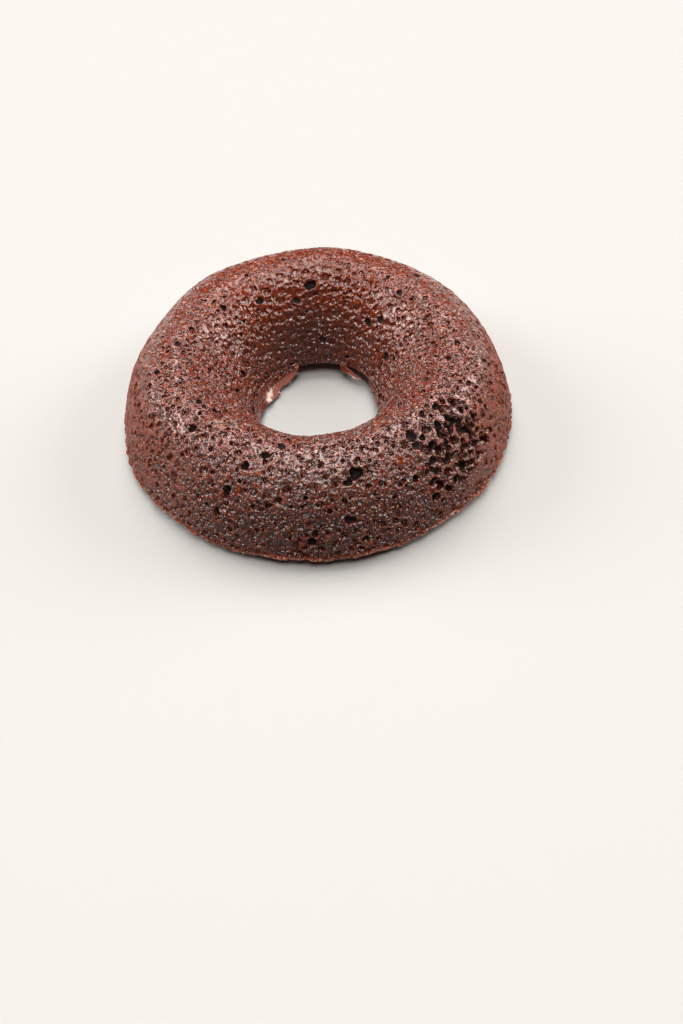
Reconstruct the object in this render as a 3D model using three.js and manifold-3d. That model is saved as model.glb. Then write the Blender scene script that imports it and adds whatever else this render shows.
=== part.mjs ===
// A chocolate ring doughnut, baked in a pan and turned out onto its flat side.
// Millimetres, +Z up. The origin is on the table, under the middle of the hole.
// Azimuths are in degrees, anticlockwise from +X as seen from above.

import * as THREE from 'three';
import { mergeVertices } from 'three/addons/utils/BufferGeometryUtils.js';
import Module from 'manifold-3d';

const wasm = await Module();
wasm.setup();

// Section of the ring
const lipRadius = 42;
const lipHeight = 2.4;
const crestRadius = 28.5;
const crestHeight = 21;
const holeRadius = 13.35;
const holeRimHeight = 3.65;

// How the wall, the shoulder, the slope and the throat of the hole curve into one another
const wallLean = 9;
const wallReach = 10.6;
const shoulderReach = 6.8;
const slopeReach = 6;
const throatLean = 21;
const throatReach = 7;

// The underside swells down to a flat resting ring
const edgeThickness = 0.6;
const restOuterRadius = 32;
const restInnerRadius = 23;
const undersideReach = 4.5;

// Steps of the mesh
const aroundSteps = 90;
const wallSteps = 11;
const slopeSteps = 11;
const undersideSteps = 4;
const restSteps = 2;

// Slow swells of the crust
const swellCount = 12;
const swellHeight = 0.06;
const swellShortest = 12;
const swellLongest = 30;
const swellFade = 3;
const coreRadius = 27.5;
const coreHeight = 9;

// The lip wavers up and down
const lipWaveCounts = [3, 5, 8, 13, 21];
const lipWaveHeight = 0.16;
const lipWaveReach = 3.5;

// Pores that stand out, each as azimuth, climb up the crust from the lip, and width
const boldPores = [
  [277, 9, 2.2], [266, 4.5, 2], [281, 18, 2.8], [278, 16.6, 1.8],
  [304, 21, 2.5], [240, 13, 2.1], [238, 8, 1.7], [219, 21, 2],
  [244, 19, 1.9], [250, 22, 1.8], [98, 34.5, 1.6], [89, 31.5, 2.4],
  [41, 35.5, 1.8], [39, 28.5, 1.4], [320, 22.5, 1.9], [333, 9, 1.7],
];

// The deepest pores of a patch of coarse open crumb, listed in the same way
const patchPores = [
  [323.5, 13, 2.5], [311.5, 13, 2.3], [306.5, 14.5, 2], [316, 9, 2.9],
  [322.5, 17, 1.8], [314.5, 19.5, 2.1], [320, 10, 1.5], [299, 13, 1.6],
];

// More pores crowd in about the middle of the patch
const patchAzimuth = 316;
const patchAzimuthSpread = 14;
const patchClimb = 14;
const patchClimbSpread = 8;
const patchPoreCount = 8;

// Pores scattered over the rest of the crust
const loosePoreCount = 36;
const looseClimbLowest = 3;
const looseClimbHighest = 45;
const poreWidthSmallest = 1.3;
const poreWidthLargest = 2;
const poreGap = 0.5;
const poreLift = 0.1;
const poreDepth = 1.15;
const poreSides = 8;
const poreRows = 4;

// Torn skin under the rim of the hole, left where batter crept down the pan's post
const skirtThickness = 0.5;
const skirtProud = 0.14;
const skirtRoot = 0.9;
const skirtLean = 32;
const skirtPieces = [
  { from: 104, to: 184, drop: 2.3, steps: 20 },
  { from: 36, to: 64, drop: 1.9, steps: 9 },
  { from: 352, to: 16, drop: 0.8, steps: 7 },
];

const crustMaterial = new THREE.MeshStandardMaterial({
  color: 0x4a2620,
  roughness: 0.55,
  metalness: 0,
});

function makeRandom(seed) {
  let state = seed;
  return () => {
    state = (Math.imul(state, 1664525) + 1013904223) >>> 0;
    return state / 4294967296;
  };
}

function radians(degrees) {
  return THREE.MathUtils.degToRad(degrees);
}

// The crust's line from the lip over the crest to the rim of the hole, as radius and height

function crustCurves() {
  const wall = new THREE.CubicBezierCurve(
    new THREE.Vector2(lipRadius, lipHeight),
    new THREE.Vector2(
      lipRadius - wallReach * Math.sin(radians(wallLean)),
      lipHeight + wallReach * Math.cos(radians(wallLean))),
    new THREE.Vector2(crestRadius + shoulderReach, crestHeight),
    new THREE.Vector2(crestRadius, crestHeight));
  const slope = new THREE.CubicBezierCurve(
    new THREE.Vector2(crestRadius, crestHeight),
    new THREE.Vector2(crestRadius - slopeReach, crestHeight),
    new THREE.Vector2(
      holeRadius + throatReach * Math.sin(radians(throatLean)),
      holeRimHeight + throatReach * Math.cos(radians(throatLean))),
    new THREE.Vector2(holeRadius, holeRimHeight));
  return { wall, slope };
}

function undersideCurves() {
  const inner = new THREE.CubicBezierCurve(
    new THREE.Vector2(holeRadius + edgeThickness, holeRimHeight - edgeThickness),
    new THREE.Vector2(holeRadius + undersideReach, holeRimHeight / 2),
    new THREE.Vector2(restInnerRadius - undersideReach, 0),
    new THREE.Vector2(restInnerRadius, 0));
  const rest = new THREE.LineCurve(
    new THREE.Vector2(restInnerRadius, 0),
    new THREE.Vector2(restOuterRadius, 0));
  const outer = new THREE.CubicBezierCurve(
    new THREE.Vector2(restOuterRadius, 0),
    new THREE.Vector2(restOuterRadius + undersideReach, 0),
    new THREE.Vector2(lipRadius - undersideReach, lipHeight / 3),
    new THREE.Vector2(lipRadius - edgeThickness / 2, lipHeight - edgeThickness));
  return { inner, rest, outer };
}

function sectionPoints() {
  const { wall, slope } = crustCurves();
  const { inner, rest, outer } = undersideCurves();
  const points = [
    ...wall.getPoints(wallSteps),
    ...slope.getPoints(slopeSteps).slice(1),
    ...inner.getPoints(undersideSteps),
    ...rest.getPoints(restSteps).slice(1),
    ...outer.getPoints(undersideSteps).slice(1),
  ];
  return [...points, points[0]];
}

// Plane waves through space, whose sum makes the crust swell and sink a little

function makeSwells() {
  const draw = makeRandom(7);
  const swells = [];
  for (let i = 0; i < swellCount; i += 1) {
    const turn = 2 * Math.PI * draw();
    const rise = 2 * draw() - 1;
    const length = swellShortest + (swellLongest - swellShortest) * draw();
    const flat = Math.sqrt(1 - rise * rise);
    const wave = new THREE.Vector3(flat * Math.cos(turn), flat * Math.sin(turn), rise);
    swells.push({ wave: wave.multiplyScalar(2 * Math.PI / length), phase: 2 * Math.PI * draw() });
  }
  return swells;
}

function makeLipPhases() {
  const draw = makeRandom(11);
  return lipWaveCounts.map(() => 2 * Math.PI * draw());
}

const swells = makeSwells();
const lipPhases = makeLipPhases();

function swellAt(point) {
  let sum = 0;
  for (const { wave, phase } of swells) {
    sum += Math.sin(wave.dot(point) + phase);
  }
  return swellHeight * sum;
}

function lipWaveAt(azimuth) {
  let sum = 0;
  lipWaveCounts.forEach((count, i) => {
    sum += Math.sin(count * azimuth + lipPhases[i]);
  });
  return lipWaveHeight * sum;
}

// Moves a point of the even ring to its place on the uneven one. The resting ring stays flat.

function unevenPoint(point) {
  const azimuth = Math.atan2(point.y, point.x);
  const core = new THREE.Vector3(
    coreRadius * Math.cos(azimuth), coreRadius * Math.sin(azimuth), coreHeight);
  const away = point.clone().sub(core).normalize();
  const free = THREE.MathUtils.smoothstep(point.z, 0, swellFade);
  const moved = point.clone().addScaledVector(away, swellAt(point) * free);
  const fromLip = Math.hypot(Math.hypot(point.x, point.y) - lipRadius, point.z - lipHeight);
  const nearLip = 1 - THREE.MathUtils.smoothstep(fromLip, 0, lipWaveReach);
  moved.z += lipWaveAt(azimuth) * nearLip;
  return moved;
}

function moveVertices(geometry, move) {
  const position = geometry.getAttribute('position');
  const point = new THREE.Vector3();
  for (let i = 0; i < position.count; i += 1) {
    point.copy(move(point.fromBufferAttribute(position, i)));
    position.setXYZ(i, point.x, point.y, point.z);
  }
}

function weld(geometry) {
  geometry.deleteAttribute('normal');
  geometry.deleteAttribute('uv');
  return mergeVertices(geometry);
}

function ringGeometry() {
  const geometry = weld(new THREE.LatheGeometry(sectionPoints(), aroundSteps));
  geometry.rotateX(Math.PI / 2);
  moveVertices(geometry, unevenPoint);
  return geometry;
}

// Pores

// The crust's place and outward direction at an azimuth and a climb from the lip

function crustAt(azimuth, climb) {
  const { wall, slope } = crustCurves();
  const onWall = climb < wall.getLength();
  const curve = onWall ? wall : slope;
  const share = (onWall ? climb : climb - wall.getLength()) / curve.getLength();
  const place = curve.getPointAt(share);
  const along = curve.getTangentAt(share);
  const sine = Math.sin(radians(azimuth));
  const cosine = Math.cos(radians(azimuth));
  return {
    point: new THREE.Vector3(place.x * cosine, place.x * sine, place.y),
    outward: new THREE.Vector3(along.y * cosine, along.y * sine, -along.x),
  };
}

function crustLength() {
  const { wall, slope } = crustCurves();
  return wall.getLength() + slope.getLength();
}

function makePore(azimuth, climb, width) {
  const { point, outward } = crustAt(azimuth, climb);
  return { point, outward, width };
}

function hasRoom(pore, pores) {
  return pores.every((other) =>
    pore.point.distanceTo(other.point) > (pore.width + other.width) / 2 + poreGap);
}

function scatterPores(pores, count, draw, place) {
  const wanted = pores.length + count;
  while (pores.length < wanted) {
    const width = poreWidthSmallest + (poreWidthLargest - poreWidthSmallest) * draw();
    const [azimuth, climb] = place(draw);
    const pore = makePore(azimuth, climb, width);
    if (hasRoom(pore, pores)) {
      pores.push(pore);
    }
  }
}

function allPores() {
  const pores = [...boldPores, ...patchPores].map((listed) => makePore(...listed));
  const draw = makeRandom(29);
  scatterPores(pores, patchPoreCount, draw, (next) => [
    patchAzimuth + patchAzimuthSpread * (next() + next() - 1),
    patchClimb + patchClimbSpread * (next() + next() - 1),
  ]);
  const highest = Math.min(looseClimbHighest, crustLength());
  scatterPores(pores, loosePoreCount, draw, (next) => [
    360 * next(),
    looseClimbLowest + (highest - looseClimbLowest) * next(),
  ]);
  return pores;
}

function poreGeometry({ point, outward, width }) {
  const geometry = weld(new THREE.SphereGeometry(width / 2, poreSides, poreRows));
  geometry.scale(1, poreDepth, 1);
  const turn = new THREE.Quaternion().setFromUnitVectors(new THREE.Vector3(0, 1, 0), outward);
  geometry.applyQuaternion(turn);
  const centre = unevenPoint(point).addScaledVector(outward, poreLift * width);
  geometry.translate(centre.x, centre.y, centre.z);
  return geometry;
}

// Torn skin: a box whose length runs round the hole, bent along the rim and frayed below

function skirtGeometry({ from, to, drop, steps }, draw) {
  const sweep = to > from ? to - from : to + 360 - from;
  const frays = Array.from({ length: steps + 1 }, (_, i) => {
    const taper = Math.sin(Math.PI * i / steps);
    return drop * Math.sqrt(taper) * (0.45 + 0.55 * draw());
  });
  const geometry = weld(new THREE.BoxGeometry(1, 1, 1, steps, 1, 1));
  moveVertices(geometry, (corner) => {
    const share = corner.x + 0.5;
    const azimuth = radians(from + sweep * share);
    const below = corner.z < 0 ? frays[Math.round(share * steps)] : -skirtRoot;
    const thick = skirtThickness * (0.5 - corner.y) * (corner.z < 0 ? 0.6 : 1);
    const radius = holeRadius - skirtProud + thick - below * Math.sin(radians(skirtLean));
    const height = holeRimHeight - below * Math.cos(radians(skirtLean));
    return unevenPoint(
      new THREE.Vector3(radius * Math.cos(azimuth), radius * Math.sin(azimuth), height));
  });
  return geometry;
}

// Joining and cutting

function toSolid(geometry) {
  return new wasm.Manifold(new wasm.Mesh({
    numProp: 3,
    vertProperties: new Float32Array(geometry.getAttribute('position').array),
    triVerts: new Uint32Array(geometry.getIndex().array),
  }));
}

function toGeometry(solid) {
  const { vertProperties, triVerts } = solid.getMesh();
  const geometry = new THREE.BufferGeometry();
  geometry.setAttribute('position', new THREE.BufferAttribute(vertProperties, 3));
  geometry.setIndex(new THREE.BufferAttribute(triVerts, 1));
  return geometry;
}

function centreOverOrigin(geometry) {
  geometry.computeBoundingBox();
  const middle = geometry.boundingBox.getCenter(new THREE.Vector3());
  geometry.translate(-middle.x, -middle.y, -geometry.boundingBox.min.z);
}

function doughnutGeometry() {
  let solid = toSolid(ringGeometry());
  for (const pore of allPores()) {
    solid = solid.subtract(toSolid(poreGeometry(pore)));
  }
  const draw = makeRandom(31);
  for (const piece of skirtPieces) {
    solid = solid.add(toSolid(skirtGeometry(piece, draw)));
  }
  const geometry = toGeometry(solid);
  centreOverOrigin(geometry);
  geometry.computeVertexNormals();
  return geometry;
}

const doughnut = new THREE.Mesh(doughnutGeometry(), crustMaterial);
doughnut.name = 'doughnut';

const model = new THREE.Group();
model.add(doughnut);

export default model;
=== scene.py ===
"""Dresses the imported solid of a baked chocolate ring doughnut.

The crust repeats the solid's form, with its pores cut as real relief. Metres, +Z up.
Azimuths are in degrees, anticlockwise from +X as seen from above. Climbs, up the crust from the
lip, are in millimetres, and so are the widths of pores and the drops of torn skin.
"""

import math

import bmesh
import bpy
import numpy as np
from mathutils import Matrix, Vector


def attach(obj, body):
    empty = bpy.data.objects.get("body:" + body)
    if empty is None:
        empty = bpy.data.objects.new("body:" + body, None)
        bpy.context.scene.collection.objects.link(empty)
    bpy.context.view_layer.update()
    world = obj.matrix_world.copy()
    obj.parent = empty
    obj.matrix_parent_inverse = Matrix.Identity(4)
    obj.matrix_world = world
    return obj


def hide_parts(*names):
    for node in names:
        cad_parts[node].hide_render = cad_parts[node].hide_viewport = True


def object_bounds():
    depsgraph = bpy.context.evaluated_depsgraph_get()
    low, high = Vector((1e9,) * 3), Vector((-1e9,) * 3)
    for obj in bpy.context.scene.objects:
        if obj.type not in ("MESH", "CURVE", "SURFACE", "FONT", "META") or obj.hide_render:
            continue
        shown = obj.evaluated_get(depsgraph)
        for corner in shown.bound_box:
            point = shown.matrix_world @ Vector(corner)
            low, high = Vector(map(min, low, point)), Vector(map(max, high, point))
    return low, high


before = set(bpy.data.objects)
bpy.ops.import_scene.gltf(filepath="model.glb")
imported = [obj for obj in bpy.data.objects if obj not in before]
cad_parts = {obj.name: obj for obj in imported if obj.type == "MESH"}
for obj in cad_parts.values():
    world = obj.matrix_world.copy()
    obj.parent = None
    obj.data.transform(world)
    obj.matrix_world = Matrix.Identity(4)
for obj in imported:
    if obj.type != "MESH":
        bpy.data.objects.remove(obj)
cad_low, cad_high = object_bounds()

MM = 0.001

# Section of the ring
LIP_RADIUS = 42 * MM
LIP_HEIGHT = 2.4 * MM
CREST_RADIUS = 28.5 * MM
CREST_HEIGHT = 21 * MM
HOLE_RADIUS = 13.35 * MM
HOLE_RIM_HEIGHT = 3.65 * MM
WALL_LEAN = 9
WALL_REACH = 10.6 * MM
SHOULDER_REACH = 6.8 * MM
SLOPE_REACH = 6 * MM
THROAT_LEAN = 21
THROAT_REACH = 7 * MM
EDGE_THICKNESS = 0.6 * MM
REST_OUTER_RADIUS = 32 * MM
REST_INNER_RADIUS = 23 * MM
UNDERSIDE_REACH = 4.5 * MM
LINE_STEPS = 400
UNDERSIDE_LINE_STEPS = 200

# Slow swells of the crust, and the waver of the lip
SWELL_COUNT = 12
SWELL_HEIGHT = 0.06 * MM
SWELL_SHORTEST = 12 * MM
SWELL_LONGEST = 30 * MM
SWELL_FADE = 3 * MM
CORE_RADIUS = 27.5 * MM
CORE_HEIGHT = 9 * MM
LIP_WAVE_COUNTS = (3, 5, 8, 13, 21)
LIP_WAVE_HEIGHT = 0.16 * MM
LIP_WAVE_REACH = 3.5 * MM

# Pores that stand out, each as azimuth, climb and width
BOLD_PORES = (
    (277, 9, 2.2), (266, 4.5, 2), (281, 18, 2.8), (278, 16.6, 1.8),
    (304, 21, 2.5), (240, 13, 2.1), (238, 8, 1.7), (219, 21, 2),
    (244, 19, 1.9), (250, 22, 1.8), (98, 34.5, 1.6), (89, 31.5, 2.4),
    (41, 35.5, 1.8), (39, 28.5, 1.4), (320, 22.5, 1.9), (333, 9, 1.7),
)
PATCH_PORES = (
    (323.5, 13, 2.5), (311.5, 13, 2.3), (306.5, 14.5, 2), (316, 9, 2.9),
    (322.5, 17, 1.8), (314.5, 19.5, 2.1), (320, 10, 1.5), (299, 13, 1.6),
)
PATCH_AZIMUTH = 316
PATCH_AZIMUTH_SPREAD = 14
PATCH_CLIMB = 14
PATCH_CLIMB_SPREAD = 8
PATCH_PORE_COUNT = 8
LOOSE_PORE_COUNT = 36
LOOSE_CLIMB_LOWEST = 3
LOOSE_CLIMB_HIGHEST = 45
PORE_WIDTH_SMALLEST = 1.3
PORE_WIDTH_LARGEST = 2
PORE_GAP = 0.5

# Pits between the pores, which only the dressed crust has. Margins are climbs, depths and overlaps
# are shares of a pit's width, and a higher bias makes more pits small.
PIT_COUNT = 2100
PIT_SMALLEST = 1
PIT_LARGEST = 2
PIT_BIAS = 1.7
PIT_DEPTH = 0.3
PIT_OVERLAP = 0.05
PIT_TRIES = 12
PIT_MARGIN = 0.6
PATCH_PIT_COUNT = 72
PATCH_PIT_SMALLEST = 1
PATCH_PIT_LARGEST = 2.5
PATCH_PIT_DEPTH = 0.6
PATCH_PIT_OVERLAP = 0.2
PINHOLE_COUNT = 150
PINHOLE_SMALLEST = 0.5
PINHOLE_LARGEST = 1
PINHOLE_DEPTH = 0.9
PINHOLE_TRIES = 6
PINHOLE_MARGIN_BELOW = 1.5
PINHOLE_MARGIN_ABOVE = 1
PORE_DEPTH = 0.6

# Of the places tried for pits below this climb this share is kept, and the others move up above it
WALL_TOP = 13
WALL_SHARE = 0.4

# Form of a pit: its bowl, the waves of its outline, each as count, least and most height, their growth
# in a ragged pit, its raised edge, and how far out it is worked out, in shares of its half width
BOWL_POWER = 4
BOWL_ROUNDNESS = 0.6
OUTLINE_WAVES = ((2, 0.02, 0.16), (3, 0.02, 0.1), (5, 0.0, 0.06))
RAGGED = 1.6
RIM_PLACE = 1.12
RIM_SPREAD = 0.3
RIM_HEIGHT = 0.04 * MM
PIT_REACH = 1.7

# Least and most depth, as shares of what each kind should have, and the loss of depth at the back
DEPTH_SPREAD = (0.6, 1.3)
BACK_CALM = 0.5

# Least and most painted shade inside each kind
PATCH_PIT_DARKNESS = (0.3, 0.8)
PINHOLE_DARKNESS = (0.9, 1)
PORE_DARKNESS = (0.95, 1)

# Small lumps of the crust, and the fraying of its lip, full near the lip and gone at its reach
LUMP_HEIGHT = 0.05 * MM
LUMP_SHORTEST = 2 * MM
LUMP_LONGEST = 6 * MM
LUMP_COUNT = 24
LUMP_FADE = 1 * MM
LIP_FRAY = 0.28 * MM
LIP_FRAY_SHORTEST = 0.6 * MM
LIP_FRAY_LONGEST = 2.5 * MM
LIP_FRAY_COUNT = 20
LIP_FULL = 0.1 * MM
LIP_REACH = 1.1 * MM

# Stretches of the crust with a look of their own, each as climb and its spread, azimuth and its spread
MOIST_SHOULDER = (20, 7, 272, 48)
FAR_CREST = (24, 7, 90, 60)
NEAR_SLOPE = (31, 5, 270, 60)

# Climbs over which the dry sides, the near wall and the far wall end, and the hole's far wall begins
DRY_END = (12, 20)
NEAR_WALL_END = (8, 18)
FAR_WALL_END = (10, 20)
HOLE_WALL_START = (31, 43)
HOLE_WALL_AZIMUTH = 92
HOLE_WALL_SPREAD = 50

# How far to the sides, forward and back those looks begin and are full, as shares of the radius
DRY_SIDEWAYS = (0.5, 0.9)
NEAR_WALL_FORWARD = (0.0, 0.6)
FAR_WALL_BACKWARD = (0.1, 0.7)

# Gloss of the crust, and what the stretches add to it or take from it
GLOSS = 0.7
MOIST_GLOSS = 0.7
FAR_CREST_DULLNESS = 0.5
NEAR_SLOPE_DULLNESS = 0.15
HOLE_WALL_DULLNESS = 0.25

# How much darker the walls and the far crest are
NEAR_WALL_SHADE = 0.95
FAR_WALL_SHADE = 0.75
FAR_CREST_SHADE = 0.2

# How much fainter the finest pits are at the back and the sides, and bolder in front
BACK_FAINTNESS = 0.7
FRONT_BOLDNESS = 0.4
SIDE_FAINTNESS = 0.2

# The underside is marked like the crust at this climb
UNDERSIDE_CLIMB = 28.0

# Range of the waves' starts, a little more than a full turn
WAVE_STARTS = (0, 7)

# Starts of the random draws, the first three the same as the solid's
SWELL_SEED = 7
LIP_SEED = 11
PORE_SEED = 29
PIT_SEED = 5
LUMP_SEED = 3
FRAY_SEED = 9
SKIN_SEED = 17

# Torn skin round the hole: its lean and thickness, the fraying of its edge, its folds as height and
# turns by azimuth and by drop, and the curl of its widest part
SKIN_LEAN = 32
SKIN_THICKNESS = 0.32 * MM
SKIN_EDGE_THICKNESS = 0.12 * MM
SKIN_PROUD = 0.14 * MM
SKIN_STEP = 0.4
SKIN_ROWS = 14
SKIN_FRAY = 0.14
SKIN_FRAY_FROM = -0.4
SKIN_FRAY_SPACING = 7
SKIN_FINE_FRAY = 0.35
SKIN_LEAST_DROP = 0.12
SKIN_FOLDS = ((0.14 * MM, 0.35, 3), (0.06 * MM, 1.1, -5))
SKIN_CURL = 0.7 * MM
SKIN_CURL_AZIMUTH = 152
SKIN_CURL_SPREAD = 14
SKIN_SMOOTH_WITHIN = 0.3
SKIN_PALE_AND_GLINT_FROM = (0.3, 0.75)
SKIN_GLOSS = 0.6

# Each piece of it as azimuth, and its upper and lower drop below the rim.
# A negative drop is a root inside the crust.
SKIN_ROOT = -0.9
WIDE_FLAP = (
    (206, SKIN_ROOT, -0.5), (198, SKIN_ROOT, 0.3), (188, SKIN_ROOT, 1.2), (176, SKIN_ROOT, 2.1),
    (161, SKIN_ROOT, 2.7), (154, SKIN_ROOT, 3.0), (147, SKIN_ROOT, 3.4), (141, SKIN_ROOT, 3.5),
    (138, SKIN_ROOT, 3.0), (130, SKIN_ROOT, 2.9), (120, SKIN_ROOT, 2.5), (114, SKIN_ROOT, 2.0),
    (110, SKIN_ROOT, 1.5), (107, SKIN_ROOT, 0.3), (105, SKIN_ROOT, -0.4))
LOOSE_STRIP = (
    (64, SKIN_ROOT, -0.4), (61, SKIN_ROOT, 1.3), (58, SKIN_ROOT, 1.4), (56, 0.3, 1.3),
    (51, 0.6, 1.1), (47, 0.9, 1.6), (43, 1.0, 1.7), (39, 0.9, 1.3), (36.5, 1.05, 1.15))
SMALL_FLAP = (
    (28, SKIN_ROOT, -0.4), (25, SKIN_ROOT, 0.3), (20, SKIN_ROOT, 0.5), (14, SKIN_ROOT, 0.1),
    (8, SKIN_ROOT, 0.4), (1, SKIN_ROOT, 0.3), (-6, SKIN_ROOT, -0.4))

# Where the torn skin turns smooth, as azimuth and drop, and how pale its edge is, as azimuth and share,
# its palest stretches painted as white glints
SMOOTH_FROM = (
    (206, 0.3), (185, 0.9), (176, 1), (152, 1.8), (140, 1.3),
    (128, 1), (119, 0.8), (105, 0.7), (64, 0), (-6, 0))
PALE = (
    (206, 0), (160, 0.1), (153, 0.4), (138, 0.55), (110, 0.5), (106, 0.7),
    (62, 0.1), (54, 0.4), (47, 0.8), (36, 0.9), (28, 0.2), (-6, 0.2))

# The streak of painted glint, which slants down the widest part: its place and half width are shares of
# the drop
GLINT_STREAK_AZIMUTHS = (142, 162)
GLINT_STREAK_DOWN = 0.72
GLINT_STREAK_SLANT = 0.2
GLINT_STREAK_WAVER = 0.05
GLINT_STREAK_WAVER_TURNS = 0.9
GLINT_STREAK_HALF_WIDTH = 0.19
GLINT_STREAK_STRENGTH = 1.3

# Slivers of torn skin, each as azimuth, radius and height of its root and of its tip, and its width
SLIVERS = (
    ((138.5, 11.75, 1.05), (139, 9.7, 1.3), 0.55),
    ((112, 12.65, 2.4), (105.3, 12.6, 2.0), 0.6),
    ((120, 12.0, 1.6), (120.5, 10.95, 1.4), 0.35),
    ((144, 11.5, 0.8), (145.5, 10.6, 0.6), 0.3),
)
SLIVER_RINGS = 9
SLIVER_SIDES = 8
SLIVER_TAPER = 0.75
SLIVER_WAVE = 0.25
SLIVER_WAVE_TURNS = 9
SLIVER_ARCH = 0.12 * MM
SLIVER_ARCH_TURNS = 3
SLIVER_FLATNESS = 0.35
# The slivers are pale, partly painted as a white glint
SLIVER_PALE_AND_GLINT = 0.8

# Spacing of the fine mesh before it is thinned, and its triangles after that
CRUST_STEP = 0.15 * MM
UNDERSIDE_STEP = 0.3 * MM
AROUND_STEPS = 1700
CRUST_TRIANGLES = 190000

# Finest pits, in the bump alone, each as spacing, smallest and largest radius in spacings, and depth,
# with the fine grain between them, the sway that makes them uneven, where in the radius their sides
# rise, and the least and most share of the depth
FINE_PITS = ((1.2, 0.38, 0.6, 0.55), (0.6, 0.4, 0.6, 0.2))
GRAIN = 0.05
GRAIN_SIZE = 0.22 * MM
SWAY_SIZE = 0.8 * MM
SWAY = 0.3 * MM
FINE_PIT_SIDES = (0.15, 1.0)
FINE_PIT_DEPTHS = (0.4, 1.6)

# Raggedness of the noises, and sizes of the crust's patches of tone and of its flecks
NOISE_ROUGHNESS = 0.6
TONE_SIZE = 0.6 * MM
FLECK_SIZE = 0.5 * MM

# Colours of the crust and of the torn skin, with painted shade, sheen, glow and glints among them
DEEP_BROWN = (0.085, 0.01, 0.0035, 1)
RED_BROWN = (0.19, 0.029, 0.009, 1)
DRY_BROWN = (0.21, 0.033, 0.01, 1)
SHADED_BROWN = (0.02, 0.007, 0.0045, 1)
SHEEN_GREY_BROWN = (0.06, 0.028, 0.02, 1)
PIT_WALL_SHADE_BROWN = (0.04, 0.004, 0.0015, 1)
PIT_EDGE_ORANGE_AND_GLOW = (0.3, 0.045, 0.015, 1)
PORE_SHADE_BLACK = (0.014, 0.005, 0.003, 1)
SPECK_ORANGE = (0.5, 0.085, 0.024, 1)
LIP_ORANGE_AND_LIGHT = (0.38, 0.06, 0.019, 1)
LIP_PINK_AND_LIGHT = (0.55, 0.2, 0.12, 1)
SKIN_BROWN = (0.15, 0.017, 0.007, 1)
SKIN_PINK = (0.36, 0.13, 0.1, 1)
SKIN_GLINT_WHITE = (0.85, 0.7, 0.6, 1)

# Over which values of its noise, mark or direction each colour comes in, and how strongly
TONE_RANGE = (0.4, 0.6)
SHADED_RANGE = (0.4, 0.62)
SHADED_STRENGTHS = (1.0, 0.6)
DRY_STRENGTH = 0.7
PIT_WALL_FACING = (0.94, 0.78)
PIT_WALL_SHADE_STRENGTHS = (0.0, 0.95)
SPECK_RANGE = (0.56, 0.65)
SPECK_STRENGTHS = (0.0, 0.85)
PAINTED_SHEEN_SHARE = 0.8
SHEEN_GREY_STRENGTH = 0.6
PIT_EDGE_STRENGTH = 0.3
LIP_FLECK_RANGE = (0.4, 0.55)
LIP_STRENGTHS = (0.35, 0.8)
LIP_PINK_RANGE = (0.88, 1.0)
PORE_RANGE = (0.2, 0.65)
SKIN_PINK_RANGE = (0.05, 0.6)
SKIN_GLINT_WHITE_RANGE = (0.6, 1.0)

# Least and most roughness, what dryness and pores add to it, and the rest of the crust's finish
ROUGHNESS_RANGE = (0.3, 0.7)
ROUGHNESS = (0.13, 0.22)
DRY_ROUGHNESS = 0.3
PORE_ROUGHNESS = 0.5
SPECULAR_LEVEL = 0.3
COAT_ROUGHNESS = 0.2
COAT_IOR = 1.75
GLINT_FACING = (0.65, 0.85)
GLINT_STRENGTHS = (0.0, 0.9)

# Sockets of a Mix node's colours, which share their names with its other sockets
MIX_SHARE = 0
MIX_FIRST = 6
MIX_SECOND = 7
MIX_RESULT = 2

# Floor and sky, and the lights, each as name, place, size and power
FLOOR_HALF = 1.6
FLOOR_COLOUR = (0.5, 0.495, 0.49, 1)
FLOOR_ROUGHNESS = 0.6
SKY_COLOUR = (1, 0.99, 0.98, 1)
SKY_STRENGTH = 0.02
LIGHT_COLOUR = (1, 0.97, 0.92)
LIGHTS = (
    ("back_light", (0.0, 0.75, 1.4), 1.1, 22),
    ("front_light", (0.0, -0.45, 1.5), 0.7, 13),
    ("left_light", (-1.3, 0.45, 0.75), 0.9, 19),
    ("right_light", (1.3, 0.45, 0.75), 0.9, 19),
)

# The picture's camera, found from the outline, the lip and the hole
CAMERA_PLACE = (0.0, -0.2104, 0.2152)
CAMERA_PITCH = 49.67
CAMERA_YAW = 1.05
CAMERA_ROLL = 3.33
FOCAL_PIXELS = 1371
PICTURE_HEIGHT = 1024
SENSOR = 36.0
NEAREST_SEEN = 0.01
FARTHEST_SEEN = 20


def make_random(seed):
    """The same small generator that spreads the solid's pores."""
    state = seed

    def draw():
        nonlocal state
        state = (state * 1664525 + 1013904223) % 2 ** 32
        return state / 2 ** 32

    return draw


def smoothstep(value, low, high):
    share = np.clip((value - low) / (high - low), 0, 1)
    return share * share * (3 - 2 * share)


def hump(value, middle, spread):
    return np.exp(-((value - middle) / spread) ** 2)


def polar_point(azimuth, radius, height):
    """The point, or points, at an azimuth, radius and height."""
    angle = np.radians(azimuth)
    return np.stack([radius * np.cos(angle), radius * np.sin(angle), height], -1)


def stretch(climb, angle, place):
    """1 in the middle of a stretch of the crust, fading away from it."""
    middle_climb, climb_spread, middle_angle, angle_spread = place
    return hump(climb, middle_climb, climb_spread) * hump(angle, middle_angle, angle_spread)


# Section of the ring

def bezier(points, steps):
    start, first, second, end = (np.array(point) for point in points)
    share = np.linspace(0, 1, steps + 1)[:, None]
    rest = 1 - share
    return (
        rest ** 3 * start + 3 * rest ** 2 * share * first
        + 3 * rest * share ** 2 * second + share ** 3 * end)


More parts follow.
